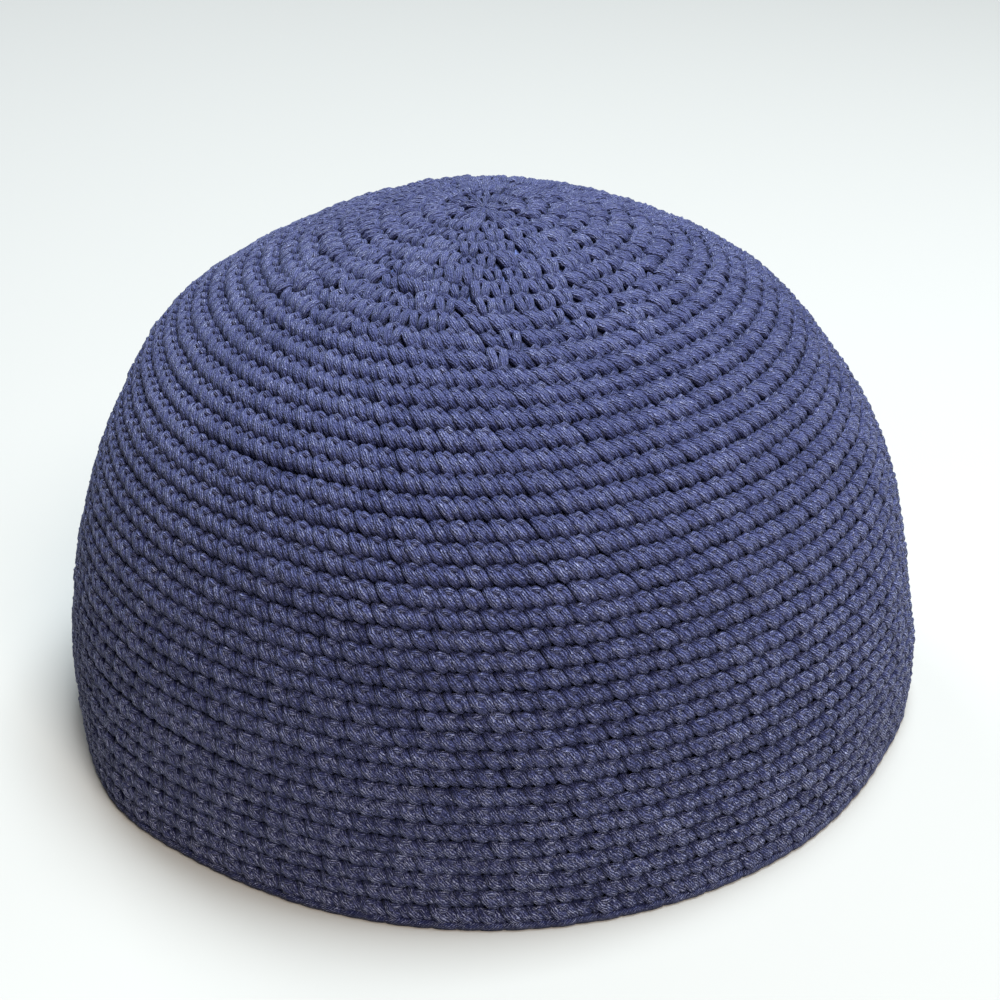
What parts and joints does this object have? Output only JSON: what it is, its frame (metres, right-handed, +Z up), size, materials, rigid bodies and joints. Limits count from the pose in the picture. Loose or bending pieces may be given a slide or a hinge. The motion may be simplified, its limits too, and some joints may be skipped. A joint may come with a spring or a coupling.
{
  "type": "crocheted kufi cap",
  "caption": "Brimless crocheted dome cap with an open oval rim, standing by itself on the rim.",
  "frame": {"origin": "middle of the open rim, on the plane that the rim rests on", "axes": "+Z up towards the crown, +X along the longer axis of the slightly oval rim, -Y the front"},
  "size_m": [0.1993, 0.1813, 0.124],
  "materials": {
    "cotton_yarn": "matt plied cotton yarn in slate navy, single crochet"
  },
  "bodies": {
    "root": {"crocheted_cap": "cotton_yarn"}
  },
  "joints": []
}
